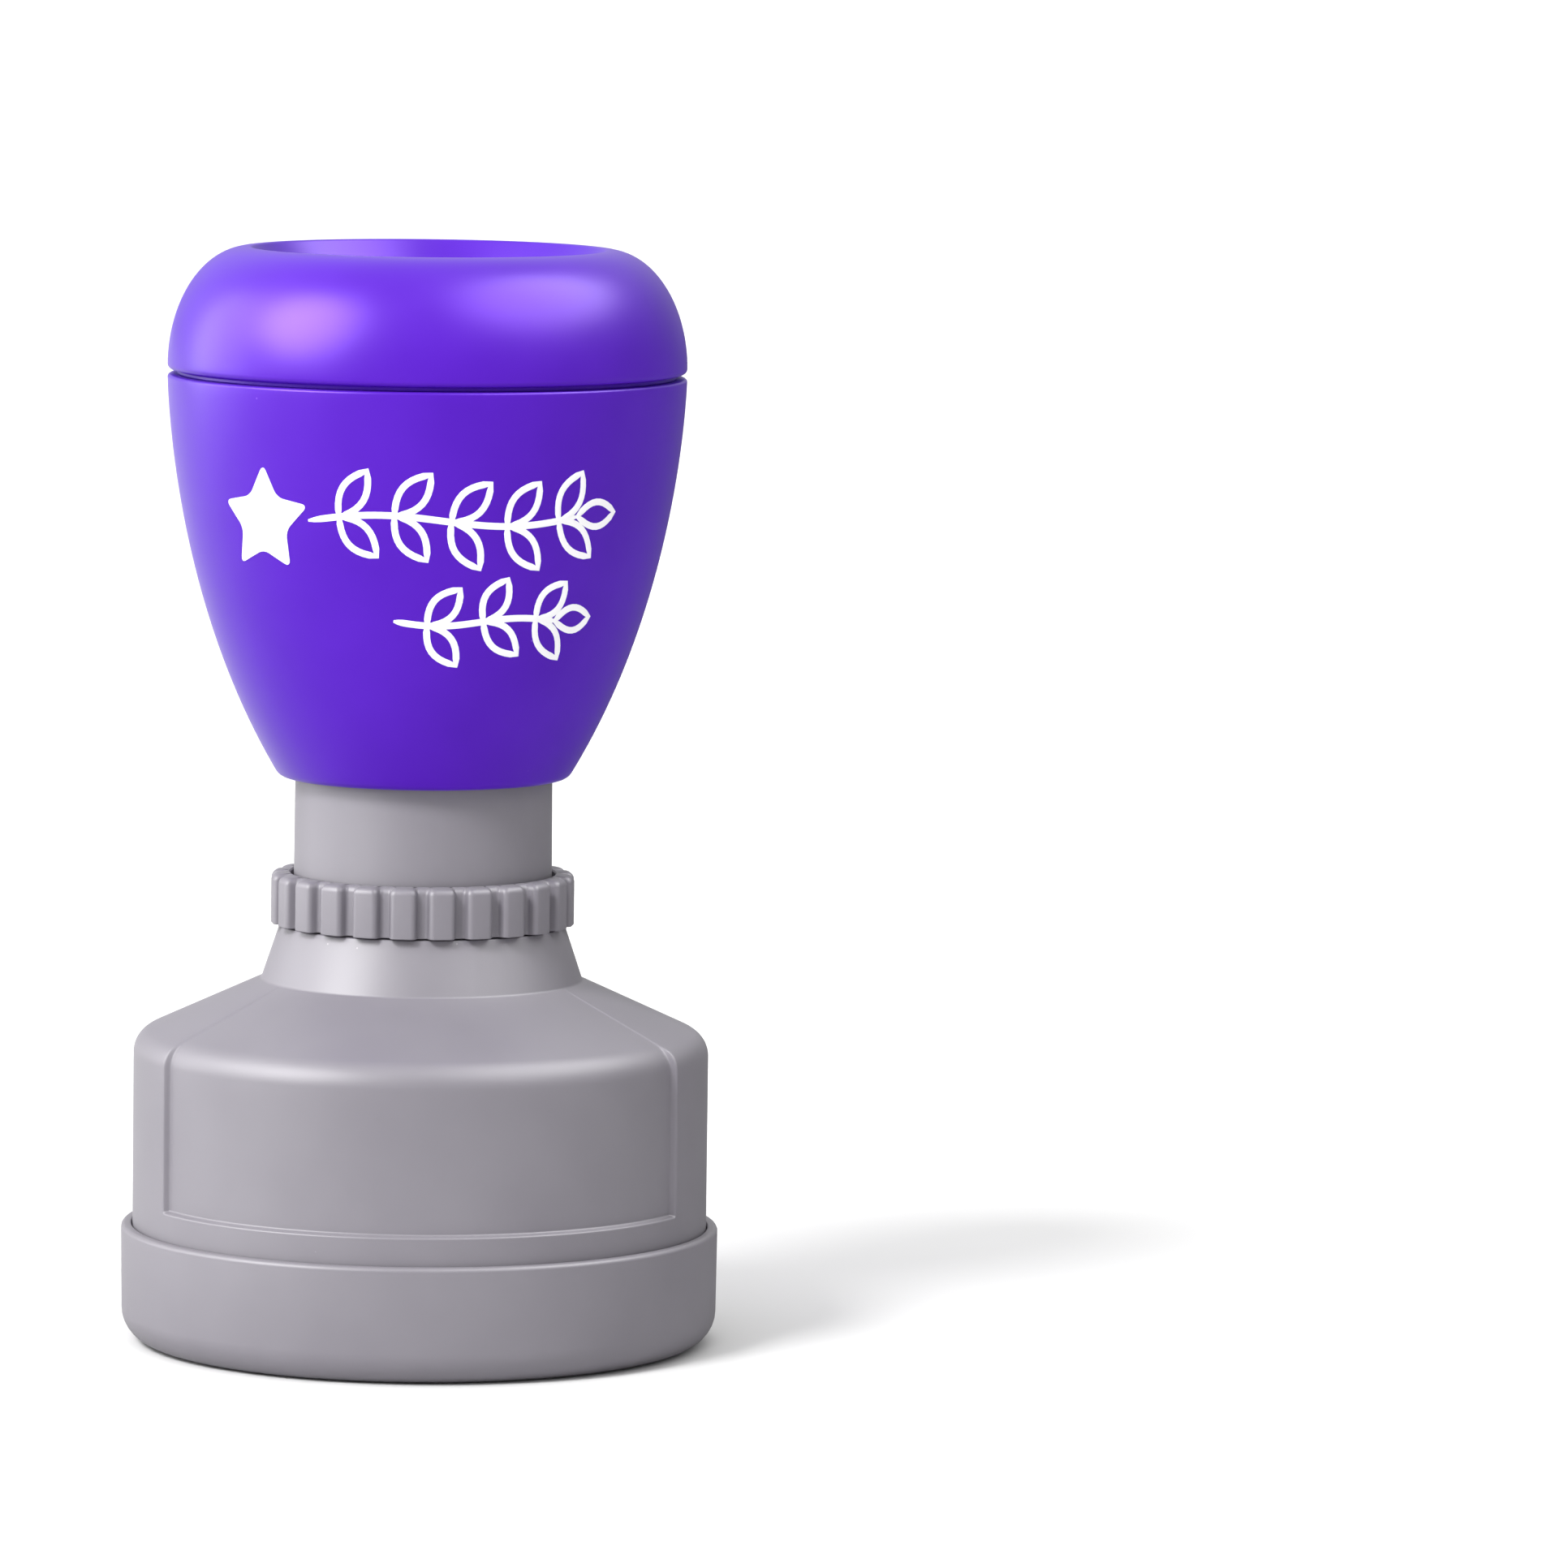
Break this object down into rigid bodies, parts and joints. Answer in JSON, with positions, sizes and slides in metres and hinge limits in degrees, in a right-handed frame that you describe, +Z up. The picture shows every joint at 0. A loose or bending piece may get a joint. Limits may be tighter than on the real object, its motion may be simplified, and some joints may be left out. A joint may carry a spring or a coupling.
{
  "type": "rubber stamp",
  "caption": "Round pre-inked hand stamp: flared purple handle with thumb dish, grey neck with toothed adjusting ring, sloped sleeve over a sprung die, in a shallow dust cap.",
  "frame": {"origin": "centre of the dust cap's base, on the surface that the stamp stands on", "axes": "+Z up along the stamp's axis, -Y towards the front, which carries the print and the sunk panel"},
  "size_m": [0.046, 0.046, 0.0843],
  "materials": {
    "grey_plastic": "satin moulded plastic",
    "purple_plastic": "glossy moulded plastic",
    "white_plastic": "natural moulded plastic",
    "black_plastic": "satin moulded plastic",
    "spring_steel": "drawn wire",
    "zinc_steel": "zinc plated",
    "black_rubber": "soft moulded rubber",
    "die_rubber": "ink-stained rubber",
    "ink_felt": "ink-soaked felt"
  },
  "bodies": {
    "base": {"dust_cap": "grey_plastic"},
    "sleeve": {"outer_sleeve": "grey_plastic", "return_spring": "spring_steel", "lower_spring_washer": "white_plastic"},
    "ring": {"adjusting_ring": "grey_plastic"},
    "plunger": {"handle_cup": "purple_plastic", "plunger_stem": "white_plastic", "upper_spring_seat": "white_plastic", "stop_bumper": "black_rubber", "nut_washer": "zinc_steel", "stem_nut": "zinc_steel", "die_holder": "white_plastic", "ink_pad": "ink_felt", "pressure_plate": "white_plastic", "stamp_die": "die_rubber", "die_ring": "black_plastic"},
    "top": {"handle_cap": "purple_plastic"},
    "plug": {"filler_plug": "black_rubber"}
  },
  "joints": [
    {"name": "cap_off", "type": "slide", "parent": "base", "child": "sleeve", "axis": [0, 0, 1], "range_m": [0, 0.02]},
    {"name": "press", "type": "slide", "parent": "sleeve", "child": "plunger", "axis": [0, 0, -1], "range_m": [0, 0.007], "stiffness_N_per_m": 800, "springref_m": -0.004, "deforming": ["return_spring"]},
    {"name": "ring_turn", "type": "hinge", "parent": "sleeve", "child": "ring", "pos_m": [0, 0, 0.034], "axis": [0, 0, 1], "range_deg": [0, 360]},
    {"name": "top_off", "type": "slide", "parent": "plunger", "child": "top", "axis": [0, 0, 1], "range_m": [0, 0.015]},
    {"name": "plug_out", "type": "slide", "parent": "plunger", "child": "plug", "axis": [0, 0, 1], "range_m": [0, 0.005]}
  ]
}
